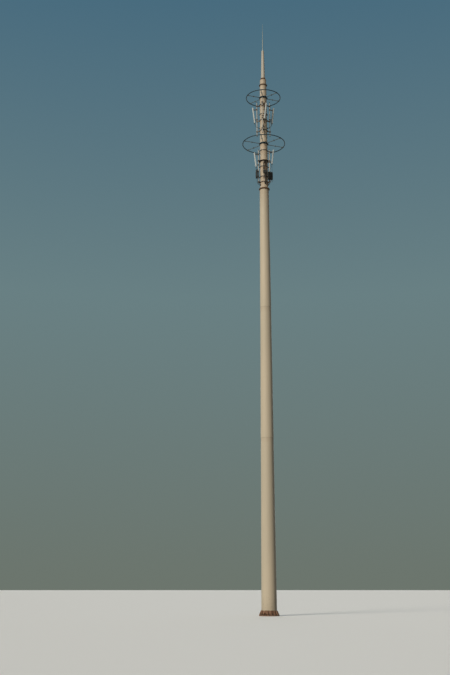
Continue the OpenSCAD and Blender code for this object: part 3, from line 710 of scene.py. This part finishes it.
def anchor_bolts():
    """Anchor studs through the base flange, each with a washer and two nuts."""
    flats, washer_r, washer_t, stud_r = 0.065, 0.040, 0.008, 0.021
    thread_rise, thread_pitch, thread_wide = 0.0012, 0.007, 0.0035
    flange_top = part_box("base_flange")[1].z
    washer_top = flange_top + washer_t
    shape = bmesh.new()
    drum(shape, washer_r, flange_top, washer_top, 24, 0.001)
    for low, high in ((0.0, 0.034), (0.036, 0.058)):
        hexagon(shape, flats, washer_top + low, washer_top + high)
    drum(shape, stud_r, 0.004, washer_top + 0.092, 20, 0.003)
    for turn in range(4):
        low = washer_top + 0.060 + turn * thread_pitch
        drum(shape, stud_r + thread_rise, low, low + thread_wide, 20)
    places = circle_places(count=16, out=0.545, up=0.0)
    piece("anchor_bolts", repeated(shape, places), "clamp_steel")


def flange_bolts():
    """Bolts of the joint between shaft and head, of the neck's flanges and of the spire's foot."""
    low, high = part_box("shaft_flange")[0].z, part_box("head_flange")[1].z
    places = circle_places(count=20, out=0.3305, up=high, first=9.0)
    piece("main_flange_bolts", bolts(0.036, places, high - low), "flange_steel")
    low, high = [corner.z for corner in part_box("neck_flanges")]
    places = circle_places(count=16, out=0.2525, up=high)
    piece("neck_flange_bolts", bolts(0.030, places, high - low), "flange_steel")
    places = circle_places(count=8, out=0.1785, up=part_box("spire_tube")[0].z)
    piece("spire_flange_bolts", bolts(0.024, places), "flange_steel")


def ear_places(height, split, thick, half_gap):
    """Two bolts across each pair of a band's ears."""
    hole_share = 0.56
    out = HEAD.at(height) + thick + EAR_LONG * hole_share
    return [spot(split + side, out, height + rise, EAR_GRIP / 2, ACROSS)
            for side in (0, 180) for rise in (-half_gap, half_gap)]


def band_bolts():
    """Bolts of the clamp bands, and of the bands that carry the arms."""
    places = []
    for tier in TIERS:
        for height in tier.band_heights:
            places += ear_places(height, BAND_SPLIT, BAND_THICK, 0.018)
        for height in tier.arm_heights:
            places += ear_places(height, BAND_SPLIT, BAND_THICK, 0.020)
    piece("band_bolts", bolts(0.024, places, EAR_GRIP), "clamp_steel", BOLT_ZINC)


def ring_bolts(tier):
    """Bolts of a ring frame: hub ears, spoke sockets, couplings and rim sleeves."""
    low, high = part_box(tier.name + "_rim")
    height = (low.z + high.z) / 2
    radius = high.x - RIM_PIPE / 2
    hub_pin, rim_pin = HEAD.at(height) + HUB_THICK + 0.055, radius - 0.082
    sleeve_r = RIM_PIPE / 2 + 0.008
    sleeve_turn = math.degrees(0.021 / radius)
    coupling, coupling_grip = 0.6 * radius + 0.022, 0.022
    pins, sleeves, couplings = [], [], []
    for azimuth in SPOKE_AZIMUTHS:
        pins += [spot(azimuth, out, height + SOCKET_R) for out in (hub_pin, rim_pin)]
        sleeves += [spot(azimuth + turn, radius, height + sleeve_r)
                    for turn in (-sleeve_turn, sleeve_turn)]
        couplings += face_circle(azimuth, coupling, height, count=4, radius=0.0365)
    shape = joined(bolts(0.022, ear_places(height, HUB_SPLIT, HUB_THICK, 0.044), EAR_GRIP),
                   bolts(0.018, pins, 2 * SOCKET_R), bolts(0.016, sleeves, 2 * sleeve_r),
                   bolts(0.016, couplings, coupling_grip))
    piece(tier.name + "_ring_bolts", shape, "ring_galvanised", BOLT_ZINC)


def arm_bolts(tier):
    """Four bolts through each pipe clamp at the end of an arm."""
    half_w, half_h = 0.0445, 0.021
    places = [spot(azimuth, tier.pipe_out + JAW_BACK, height + rise, aside, OUTWARD)
              for azimuth in tier.pipes for height in tier.arm_heights
              for aside in (-half_w, half_w) for rise in (-half_h, half_h)]
    piece(tier.name + "_arm_bolts", bolts(0.019, places, 2 * JAW_BACK), "clamp_steel", BOLT_ZINC)


def tilt_bolts(tier):
    """Pivots at both ends of the tilt bars, and the bolts of their pipe clamps."""
    pivot_half, clamp_half = 0.029, 0.040
    pivots, clamps = [], []
    for index in range(3):
        pipe = pipe_frame(tier, index)
        for along in tier.brackets:
            lug = Vector((0, PANEL_DEEP / 2 + LUG_LONG, along))
            hinge = pipe.inverted() @ panel_frame(tier, index) @ lug
            pivots += [placed(pipe, pivot_half, out, hinge.z, ACROSS)
                       for out in (-hinge.y, JAW_BACK + LUG_LONG)]
            clamps += [placed(pipe, aside, JAW_BACK, hinge.z, OUTWARD)
                       for aside in (-clamp_half, clamp_half)]
    shape = joined(bolts(0.019, pivots, 2 * pivot_half), bolts(0.015, clamps, 2 * JAW_BACK))
    piece(tier.name + "_tilt_bolts", shape, "clamp_steel", BOLT_ZINC)


def door_bolts():
    """Screws around the access cover, on its curved face."""
    count, inset, cover_proud = 22, 0.022, 0.022
    low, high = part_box("access_cover")
    middle, half_w = (low.z + high.z) / 2, (high.x - low.x) / 2
    turn_r, straight = half_w - inset, (high.z - low.z) / 2 - half_w
    length = 4 * straight + math.tau * turn_r
    places = []
    for i in range(count):
        x, z = slot_point(i * length / count, turn_r, straight)
        out = SHAFT[0].at(middle + z) + cover_proud
        swing = math.degrees(math.asin(x / out))
        places.append(spot(DOOR_AZIMUTH + swing, out, middle + z, 0.0, OUTWARD))
    piece("access_cover_bolts", bolts(0.017, places), "shaft_paint", BOLT_ZINC)


def slot_point(along, turn_r, straight):
    """Point on a slot's outline at a length along it, from the middle of its right side."""
    side, bend = 2 * straight, math.pi * turn_r
    along = (along + straight) % (2 * side + 2 * bend)
    if along < side:
        return turn_r, along - straight
    if along < side + bend:
        angle = (along - side) / turn_r
        return turn_r * math.cos(angle), straight + turn_r * math.sin(angle)
    if along < 2 * side + bend:
        return -turn_r, straight - (along - side - bend)
    angle = (along - 2 * side - bend) / turn_r
    return -turn_r * math.cos(angle), -straight - turn_r * math.sin(angle)


# Welds and seals

def fillet(radius, height, leg, up=1):
    """A weld bead in the corner between a tube and a plate over or under it."""
    deep = 0.003
    return turned([(radius - deep, height - up * deep), (radius + leg, height - up * deep),
                   (radius + leg, height), (radius + leg * 0.50, height + up * leg * 0.42),
                   (radius, height + up * leg), (radius - deep, height + up * leg)],
                  steps=96, ring=True)


def weld_beads():
    """Beads where the tubes meet their flanges."""
    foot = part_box("base_flange")[1].z
    under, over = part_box("shaft_flange")[0].z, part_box("head_flange")[1].z
    neck_low, neck_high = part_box("neck_flanges")
    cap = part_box("neck_tube")[1].z
    piece("foot_weld", fillet(SHAFT[0].at(foot), foot, 0.012), "foot_steel")
    piece("head_welds", joined(
        fillet(SHAFT[2].at(under), under, 0.007, -1), fillet(HEAD.at(over), over, 0.010),
        fillet(HEAD.at(neck_low.z), neck_low.z, 0.009, -1),
        fillet(reach("neck_tube", neck_high.z), neck_high.z, 0.009),
        fillet(reach("neck_tube", cap), cap, 0.003, -1)), "shaft_paint")


def slip_seals():
    """Sealant under the lips where one shaft section is slipped over the next."""
    beads = []
    for below, above in zip(SHAFT, SHAFT[1:]):
        lip = above.low
        beads.append(fillet(below.at(lip), lip, 0.006, -1))
    piece("slip_seals", joined(*beads), "shaft_paint", SEALANT)


def shaft_seams():
    """The long weld of each rolled section, ground low and painted over."""
    half_w, rise, sunk, end_gap = 0.006, 0.0016, 0.0002, 0.004
    tops = [SHAFT[1].low, SHAFT[2].low, SHAFT[2].high]
    shapes = []
    for tube, top, azimuth in zip(SHAFT, tops, (152, 141, 163)):
        shape = bmesh.new()
        rings = []
        for height in (tube.low + end_gap, top - end_gap):
            ring = bmesh.ops.create_circle(shape, segments=10, radius=1.0)["verts"]
            bmesh.ops.scale(shape, vec=(half_w, rise, 1.0), verts=ring)
            bmesh.ops.transform(shape, matrix=spot(azimuth, tube.at(height) - sunk, height),
                                verts=ring)
            rings.append(ring)
        bmesh.ops.bridge_loops(shape, edges=shape.edges[:])
        for ring in rings:
            shape.faces.new(ring)
        bmesh.ops.recalc_face_normals(shape, faces=shape.faces[:])
        shapes.append(shape)
    piece("shaft_seams", joined(*shapes), "shaft_paint")


# Caps, boots and glands

def pipe_caps():
    """Plastic caps on both ends of the antenna pipes."""
    radius, skirt = 0.0325, 0.030
    outline = [(0.0, 0.006), (radius * 0.60, 0.005), (radius * 0.93, 0.002), (radius, -0.003),
               (radius, -skirt), (0.0, -skirt)]
    places = []
    for tier in TIERS:
        low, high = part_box(tier.name + "_pipes")
        for azimuth in tier.pipes:
            places.append(spot(azimuth, tier.pipe_out, high.z))
            places.append(spot(azimuth, tier.pipe_out, low.z, 0.0, UPSIDE_DOWN))
    piece("pipe_caps", repeated(turned(outline), places), "cable_sheath", RUBBER)


def boot(wide, narrow, length):
    """A ribbed rubber boot along Z that narrows onto a cable."""
    outline = [(0.0, 0.0), (wide, 0.0), (wide, length * 0.22)]
    for rib in range(4):
        share = 0.26 + rib * 0.16
        radius = wide + (narrow - wide) * share
        outline += [(radius, length * share), (radius, length * (share + 0.07)),
                    (radius - 0.0016, length * (share + 0.09)),
                    (radius - 0.0016, length * (share + 0.14))]
    outline += [(narrow + 0.001, length * 0.92), (narrow, length), (0.0, length)]
    return turned(outline, steps=16)


def plug_end(tier):
    """Height, from a panel's middle, at which the cables leave its plugs."""
    inside_boot = 0.004
    return inside_boot - tier.panel_long / 2 - CONNECTOR_LONG


def jumper_boots():
    """Boots where the jumper cables leave the panels' plugs."""
    places = [placed(panel_frame(tier, index), aside, 0.0, plug_end(tier), UPSIDE_DOWN)
              for tier in TIERS for index in range(3) for aside in (-JUMPER_ASIDE, JUMPER_ASIDE)]
    piece("jumper_boots", repeated(boot(0.0175, 0.0088, 0.070), places), "cable_sheath", RUBBER)


def gland(radius, length):
    """A cable gland along Z: base collar, hexagon and dome nut."""
    shape = bmesh.new()
    drum(shape, radius * 1.25, 0.0, length * 0.20, 20, 0.0015)
    hexagon(shape, radius * 2.1, length * 0.20, length * 0.45, 0.06)
    nut = turned([(0.0, length * 0.45), (radius, length * 0.45), (radius, length * 0.80),
                  (radius * 0.78, length), (0.0, length)], steps=20)
    return joined(shape, nut)


def cable_glands():
    """Glands under the radio units and on the junction box."""
    jumper_port, near, far = 0.078, 0.068, 0.102
    foot = -RADIO_SIZE[2] / 2
    slim, wide = [], []
    for index in range(3):
        radio = radio_frame(index)
        slim += [placed(radio, aside, RADIO_PORTS_OUT, foot, UPSIDE_DOWN)
                 for aside in (-jumper_port, jumper_port)]
        wide.append(placed(radio, 0.0, RADIO_PORTS_OUT, foot, UPSIDE_DOWN))
    box_out = HEAD.at(BOX_HEIGHT) + BOX_SIZE[1] / 2
    on_box = [spot(FEEDER_AZIMUTH, box_out, BOX_HEIGHT - BOX_SIZE[2] / 2, aside, UPSIDE_DOWN)
              for aside in (-FEEDER_PITCH, 0.0, FEEDER_PITCH)]
    on_box += [spot(FEEDER_AZIMUTH, box_out, BOX_HEIGHT + BOX_SIZE[2] / 2, aside)
               for aside in (-far, -near, near, far)]
    shape = joined(repeated(gland(0.0125, 0.040), slim), repeated(gland(0.0180, 0.045), wide),
                   repeated(gland(0.0145, 0.045), on_box))
    piece("cable_glands", shape, "connector_metal")


def port_fittings():
    """Flanged collars and rubber boots where cables pass through the head tube's wall."""
    half_pair, half_w, half_h = 0.024, 0.020, 0.017
    pair = [(-half_pair, 0.0), (half_pair, 0.0)]
    three = [(lane * FEEDER_PITCH, 0.0) for lane in (-1, 0, 1)]
    four = [(aside, rise) for aside in (-half_w, half_w) for rise in (-half_h, half_h)]
    ports = [(LOWER_PORT, azimuth, [(0.0, 0.0)]) for azimuth in LOWER.pipes]
    ports += [(UPPER_PORT, azimuth, pair) for azimuth in UPPER.pipes]
    ports += [(FEEDER_PORTS[0], FEEDER_AZIMUTH, three), (FEEDER_PORTS[1], FEEDER_AZIMUTH, four)]
    collars, wide, slim, screws = [], [], [], []
    for height, azimuth, cables in ports:
        face = HEAD.at(height) + PORT_LONG
        collars.append(spot(azimuth, face, height, 0.0, OUTWARD))
        boots = slim if height == UPPER_PORT else wide
        boots += [spot(azimuth, face, height + rise, aside, OUTWARD) for aside, rise in cables]
        screws += face_circle(azimuth, face + 0.004, height, count=6, radius=0.047)
    collar = turned([(0.0, -0.002), (PORT_R + 0.004, -0.002), (PORT_R + 0.004, 0.003),
                     (PORT_R + 0.002, 0.005), (0.0, 0.005)], steps=32)
    piece("port_covers", joined(repeated(collar, collars), bolts(0.010, screws)), "radio_casting")
    shape = joined(repeated(boot(0.0165, 0.0135, 0.045), wide),
                   repeated(boot(0.0145, 0.0085, 0.045), slim))
    piece("port_boots", shape, "cable_sheath", RUBBER)


# Antenna, radio and box details

def panel_plates():
    """Mounting plates behind the panels, and the screws of their end caps."""
    plate, back = (0.120, 0.006, 0.090), -PANEL_DEEP / 2
    half_w, half_h = 0.048, 0.032
    shape, screws = bmesh.new(), []
    for tier in TIERS:
        cap_up = tier.panel_long / 2 - 0.011
        for index in range(3):
            panel = panel_frame(tier, index)
            for along in tier.brackets:
                block(shape, plate, placed(panel, 0.0, back - 0.001, along), 0.0015)
                screws += [placed(panel, aside, back - 0.004, along + rise, INWARD)
                           for aside in (-half_w, half_w) for rise in (-half_h, half_h)]
            screws += [placed(panel, side * PANEL_WIDE / 2, -0.012, rise, sideways(side))
                       for rise in (-cap_up, cap_up) for side in (-1, 1)]
    piece("panel_plates", joined(shape, bolts(0.009, screws)), "clamp_steel", BOLT_ZINC)


def panel_backs():
    """Folded aluminium trays that close the backs of the panels."""
    shape = bmesh.new()
    for tier in TIERS:
        long = tier.panel_long - 0.050
        for index in range(3):
            tray = placed(panel_frame(tier, index), 0.0, -PANEL_DEEP / 2 + 0.002, 0.0)
            block(shape, (PANEL_WIDE - 0.034, 0.005, long), tray, 0.0015)
            for side in (-1, 1):
                fold = placed(tray, side * (PANEL_WIDE / 2 - 0.026), -0.002, 0.0)
                block(shape, (0.006, 0.009, long - 0.020), fold, 0.0012)
    piece("panel_backs", shape, "radome_white", TRAY_METAL)


def radio_details():
    """Handles, edge screws and foot plates of the radio units."""
    width, deep, tall = RADIO_SIZE
    bar_r, handle_half, handle_up, screw_pitch = 0.007, 0.070, 0.040, 0.13
    shape, screws = bmesh.new(), []
    for index in range(3):
        radio = radio_frame(index)
        for side in (-1, 1):
            foot = placed(radio, side * handle_half, RADIO_PORTS_OUT, tall / 2)
            drum(shape, bar_r, 0.0, handle_up, 12, place=foot)
            screws += [placed(radio, side * width / 2, RADIO_BACK + 0.020, step * screw_pitch,
                              sideways(side)) for step in range(-2, 3)]
        bar = placed(radio, 0.0, RADIO_PORTS_OUT, tall / 2 + handle_up, ACROSS)
        drum(shape, bar_r, -handle_half - bar_r, handle_half + bar_r, 12, place=bar)
        block(shape, (width * 0.86, deep * 0.44, 0.006),
              placed(radio, 0.0, RADIO_BACK + deep * 0.28, -tall / 2 - 0.002), 0.002)
    piece("radio_details", joined(shape, bolts(0.010, screws)), "radio_casting")


def junction_lid():
    """The junction box's lid with its raised middle, and the screws that hold it."""
    width, deep, tall = BOX_SIZE
    front = HEAD.at(BOX_HEIGHT) + deep
    shape = bmesh.new()
    block(shape, (width + 0.012, 0.014, tall + 0.012),
          spot(FEEDER_AZIMUTH, front + 0.004, BOX_HEIGHT), 0.004, 2)
    block(shape, (width - 0.030, 0.006, tall - 0.030),
          spot(FEEDER_AZIMUTH, front + 0.012, BOX_HEIGHT), 0.0025)
    edge_w, edge_h = width / 2 - 0.004, tall / 2 - 0.004
    screws = [spot(FEEDER_AZIMUTH, front + 0.011, BOX_HEIGHT + rise * edge_h, side * edge_w, OUTWARD)
              for side in (-1, 1) for rise in (-0.98, 0.0, 0.98)]
    piece("junction_lid", joined(shape, bolts(0.010, screws)), "radio_casting")


def feeder_clamps():
    """A moulded block that holds the feeders to the head, and clips beside the radio units."""
    lane = HEAD.at(BOX_HEIGHT) + 0.030
    band = LOWER.band_heights[0]
    shape = bmesh.new()
    block(shape, (3 * FEEDER_PITCH + 0.024, 0.044, 0.034), spot(FEEDER_AZIMUTH, lane, band), 0.004, 2)
    screws = [spot(FEEDER_AZIMUTH, lane + 0.022, band, side * FEEDER_PITCH / 2, OUTWARD)
              for side in (-1, 1)]
    for index in range(3):
        for side in (-1, 1):
            clip = placed(radio_frame(index), side * (RADIO_SIZE[0] / 2 + 0.023), RADIO_PORTS_OUT, 0.0)
            block(shape, (0.052, 0.030, 0.024), clip, 0.004, 2)
    piece("feeder_clamps", joined(shape, bolts(0.012, screws)), "cable_sheath", RUBBER)


def route(places, steps=10):
    """A smooth line through places, with so many steps between each two."""
    ends = [places[0]] + places + [places[-1]]
    line = []
    for a, b, c, d in zip(ends, ends[1:], ends[2:], ends[3:]):
        for t in (step / steps for step in range(steps)):
            line.append(0.5 * (2 * b + (c - a) * t + (2 * a - 5 * b + 4 * c - d) * t ** 2
                               + (3 * b - a - 3 * c + d) * t ** 3))
    return line + [places[-1]]


def hose(shape, line, thick):
    """Adds a round cable along a line."""
    curve = bpy.data.curves.new("hose", "CURVE")
    curve.dimensions = "3D"
    curve.bevel_depth, curve.bevel_resolution, curve.use_fill_caps = thick / 2, 2, True
    spline = curve.splines.new("POLY")
    spline.points.add(len(line) - 1)
    for point, place in zip(spline.points, line):
        point.co = (*place, 1.0)
    item = bpy.data.objects.new("hose", curve)
    mesh = bpy.data.meshes.new_from_object(item)
    shape.from_mesh(mesh)
    bpy.data.objects.remove(item)
    bpy.data.meshes.remove(mesh)
    bpy.data.curves.remove(curve)


def lower_cables():
    """Jumpers from the lower panels round the radio units, and each unit's trunk to its port."""
    side, out = RADIO_SIZE[0] / 2 + 0.024, RADIO_PORTS_OUT
    top, foot = RADIO_SIZE[2] / 2, -RADIO_SIZE[2] / 2
    mouth = HEAD.at(LOWER_PORT) + PORT_LONG
    shape = bmesh.new()
    for index in range(3):
        radio, panel = radio_frame(index), panel_frame(LOWER, index)
        for lane in (-1, 1):
            start = placed(panel, lane * JUMPER_ASIDE, 0.0, plug_end(LOWER)).translation
            places = [start, start - Vector((0.0, 0.0, 0.060))]
            held = [(side - 0.024, 0.008, top + 0.034), (side + 0.004, 0.0, top - 0.080),
                    (side + 0.004, 0.0, 0.0), (side, 0.0, foot - 0.050),
                    (side - 0.050, 0.0, foot - 0.140), (side - 0.090, 0.0, foot - 0.095),
                    (side - 0.096, 0.0, foot + 0.006)]
            if lane < 0 and LOWER.faces[index] != RADIO_FACES[index]:
                held.insert(0, (0.0, 0.006, top + 0.190))
            places += [placed(radio, lane * aside, out + more, up).translation
                       for aside, more, up in held]
            hose(shape, route(places), JUMPER_THICK)
        places = [placed(radio, 0.0, out, foot + up).translation for up in (0.004, -0.045)]
        azimuth = LOWER.pipes[index]
        bend = facing(-azimuth) @ places[0]
        port = [(bend.x, -bend.y, 0.180), (bend.x * 0.55, mouth - (bend.y + mouth) * 0.66, 0.052),
                (0.0, mouth + 0.052, -0.002), (0.0, mouth - 0.008, 0.0)]
        places += [spot(azimuth, away, LOWER_PORT + up, aside).translation
                   for aside, away, up in port]
        hose(shape, route(places), FEEDER_THICK)
    cables = piece("lower_cables", shape, "cable_sheath", round_under=60.0)
    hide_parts("lower_jumpers")


def smooth_cables():
    """Rounds the eight-sided cables that stay as the frame gives them."""
    for name in ("upper_jumpers", "feeder_run"):
        merge = nodes[name].modifiers.new("merge", "WELD")
        merge.merge_threshold = 0.0001
        rounding = nodes[name].modifiers.new("rounding", "SUBSURF")
        rounding.levels = rounding.render_levels = 1


# Floor, backdrop, lights and camera

def floor():
    """A wide pale floor, which throws only a little light back up."""
    shape = bmesh.new()
    bmesh.ops.create_circle(shape, cap_ends=True, segments=96, radius=1900.0)
    mesh = as_mesh(shape, "floor")
    finish = Finish("floor")
    diffuse = finish.node("LightPath", out=2)
    colour = finish.mix(diffuse, (0.74, 0.73, 0.70), (0.12, 0.105, 0.085))
    finish.skin(colour, 0.9)
    mesh.materials.append(finish.material)
    plane = in_scene("floor", mesh)
    plane.location.z = -0.002


def backdrop():
    """Dim even light from all round, and a plain blue-grey backdrop behind the mast."""
    world = bpy.data.worlds.new("studio")
    bpy.context.scene.world = world
    world.use_nodes = True
    tree = world.node_tree
    light, seen = (tree.nodes.new("ShaderNodeBackground") for _ in range(2))
    feed(tree, light.inputs["Color"], (0.062, 0.078, 0.090))
    rays = tree.nodes.new("ShaderNodeLightPath").outputs
    shown = Term(tree, rays["Is Camera Ray"]).highest(Term(tree, rays["Is Glossy Ray"]))
    shown = shown.highest(Term(tree, rays["Is Transmission Ray"]))
    split = tree.nodes.new("ShaderNodeSeparateXYZ")
    tree.links.new(tree.nodes.new("ShaderNodeTexCoord").outputs["Generated"], split.inputs[0])
    rise = Term(tree, split.outputs[2]).maths("SMOOTH_MAX", 0.0, 0.05)
    fade = tree.nodes.new("ShaderNodeValToRGB")
    stops = fade.color_ramp.elements
    stops[0].color = (0.150, 0.178, 0.150, 1.0)
    stops[1].color = (0.058, 0.142, 0.208, 1.0)
    stops.new(0.5).color = (0.140, 0.215, 0.228, 1.0)
    fade_speed = 1.67
    feed(tree, fade.inputs["Fac"], rise * fade_speed)
    tree.links.new(fade.outputs["Color"], seen.inputs["Color"])
    both = tree.nodes.new("ShaderNodeMixShader")
    feed(tree, both.inputs[0], shown)
    tree.links.new(light.outputs[0], both.inputs[1])
    tree.links.new(seen.outputs[0], both.inputs[2])
    tree.links.new(both.outputs[0], tree.nodes["World Output"].inputs["Surface"])


def lamp(name, azimuth, elevation, energy, colour, softness):
    """A wide even light from one direction, given in degrees."""
    around, rise = math.radians(azimuth), math.radians(elevation)
    towards = Vector((math.sin(around) * math.cos(rise), -math.cos(around) * math.cos(rise),
                      math.sin(rise)))
    light = bpy.data.lights.new(name, "SUN")
    light.energy, light.color, light.angle = energy, colour, math.radians(softness)
    in_scene(name, light).rotation_euler = towards.to_track_quat("Z", "Y").to_euler()


def camera():
    """Eye height and upward pitch of the photograph, whose frame is 450 by 675 pixels."""
    aside, away, eye_height, pitch = -2.62, 58.0, 1.52, 15
    focal_px, frame_long_px = 940, 675
    lens = bpy.data.cameras.new("eye")
    lens.sensor_width = 36.0
    lens.lens = focal_px * lens.sensor_width / frame_long_px
    lens.clip_start, lens.clip_end = 0.5, 4000.0
    holder = in_scene("eye", lens)
    holder.location = (aside, -away, eye_height)
    holder.rotation_euler = (math.radians(90 + pitch), 0.0, 0.0)
    bpy.context.scene.camera = holder


camera()
lamp("key", -36, 35, 2.45, (1.0, 0.92, 0.80), 20)
lamp("left_fill", -98, 15, 0.60, (0.88, 0.96, 1.0), 150)
lamp("back_fill", 168, 25, 0.95, (0.92, 0.96, 1.0), 60)
backdrop()
floor()
bpy.context.scene.view_settings.view_transform = "Standard"

dress_nodes()
lower_cables()
smooth_cables()
anchor_bolts()
flange_bolts()
band_bolts()
for tier in TIERS:
    ring_bolts(tier)
    arm_bolts(tier)
    tilt_bolts(tier)
door_bolts()
weld_beads()
slip_seals()
shaft_seams()
pipe_caps()
jumper_boots()
cable_glands()
port_fittings()
panel_plates()
panel_backs()
radio_details()
junction_lid()
feeder_clamps()
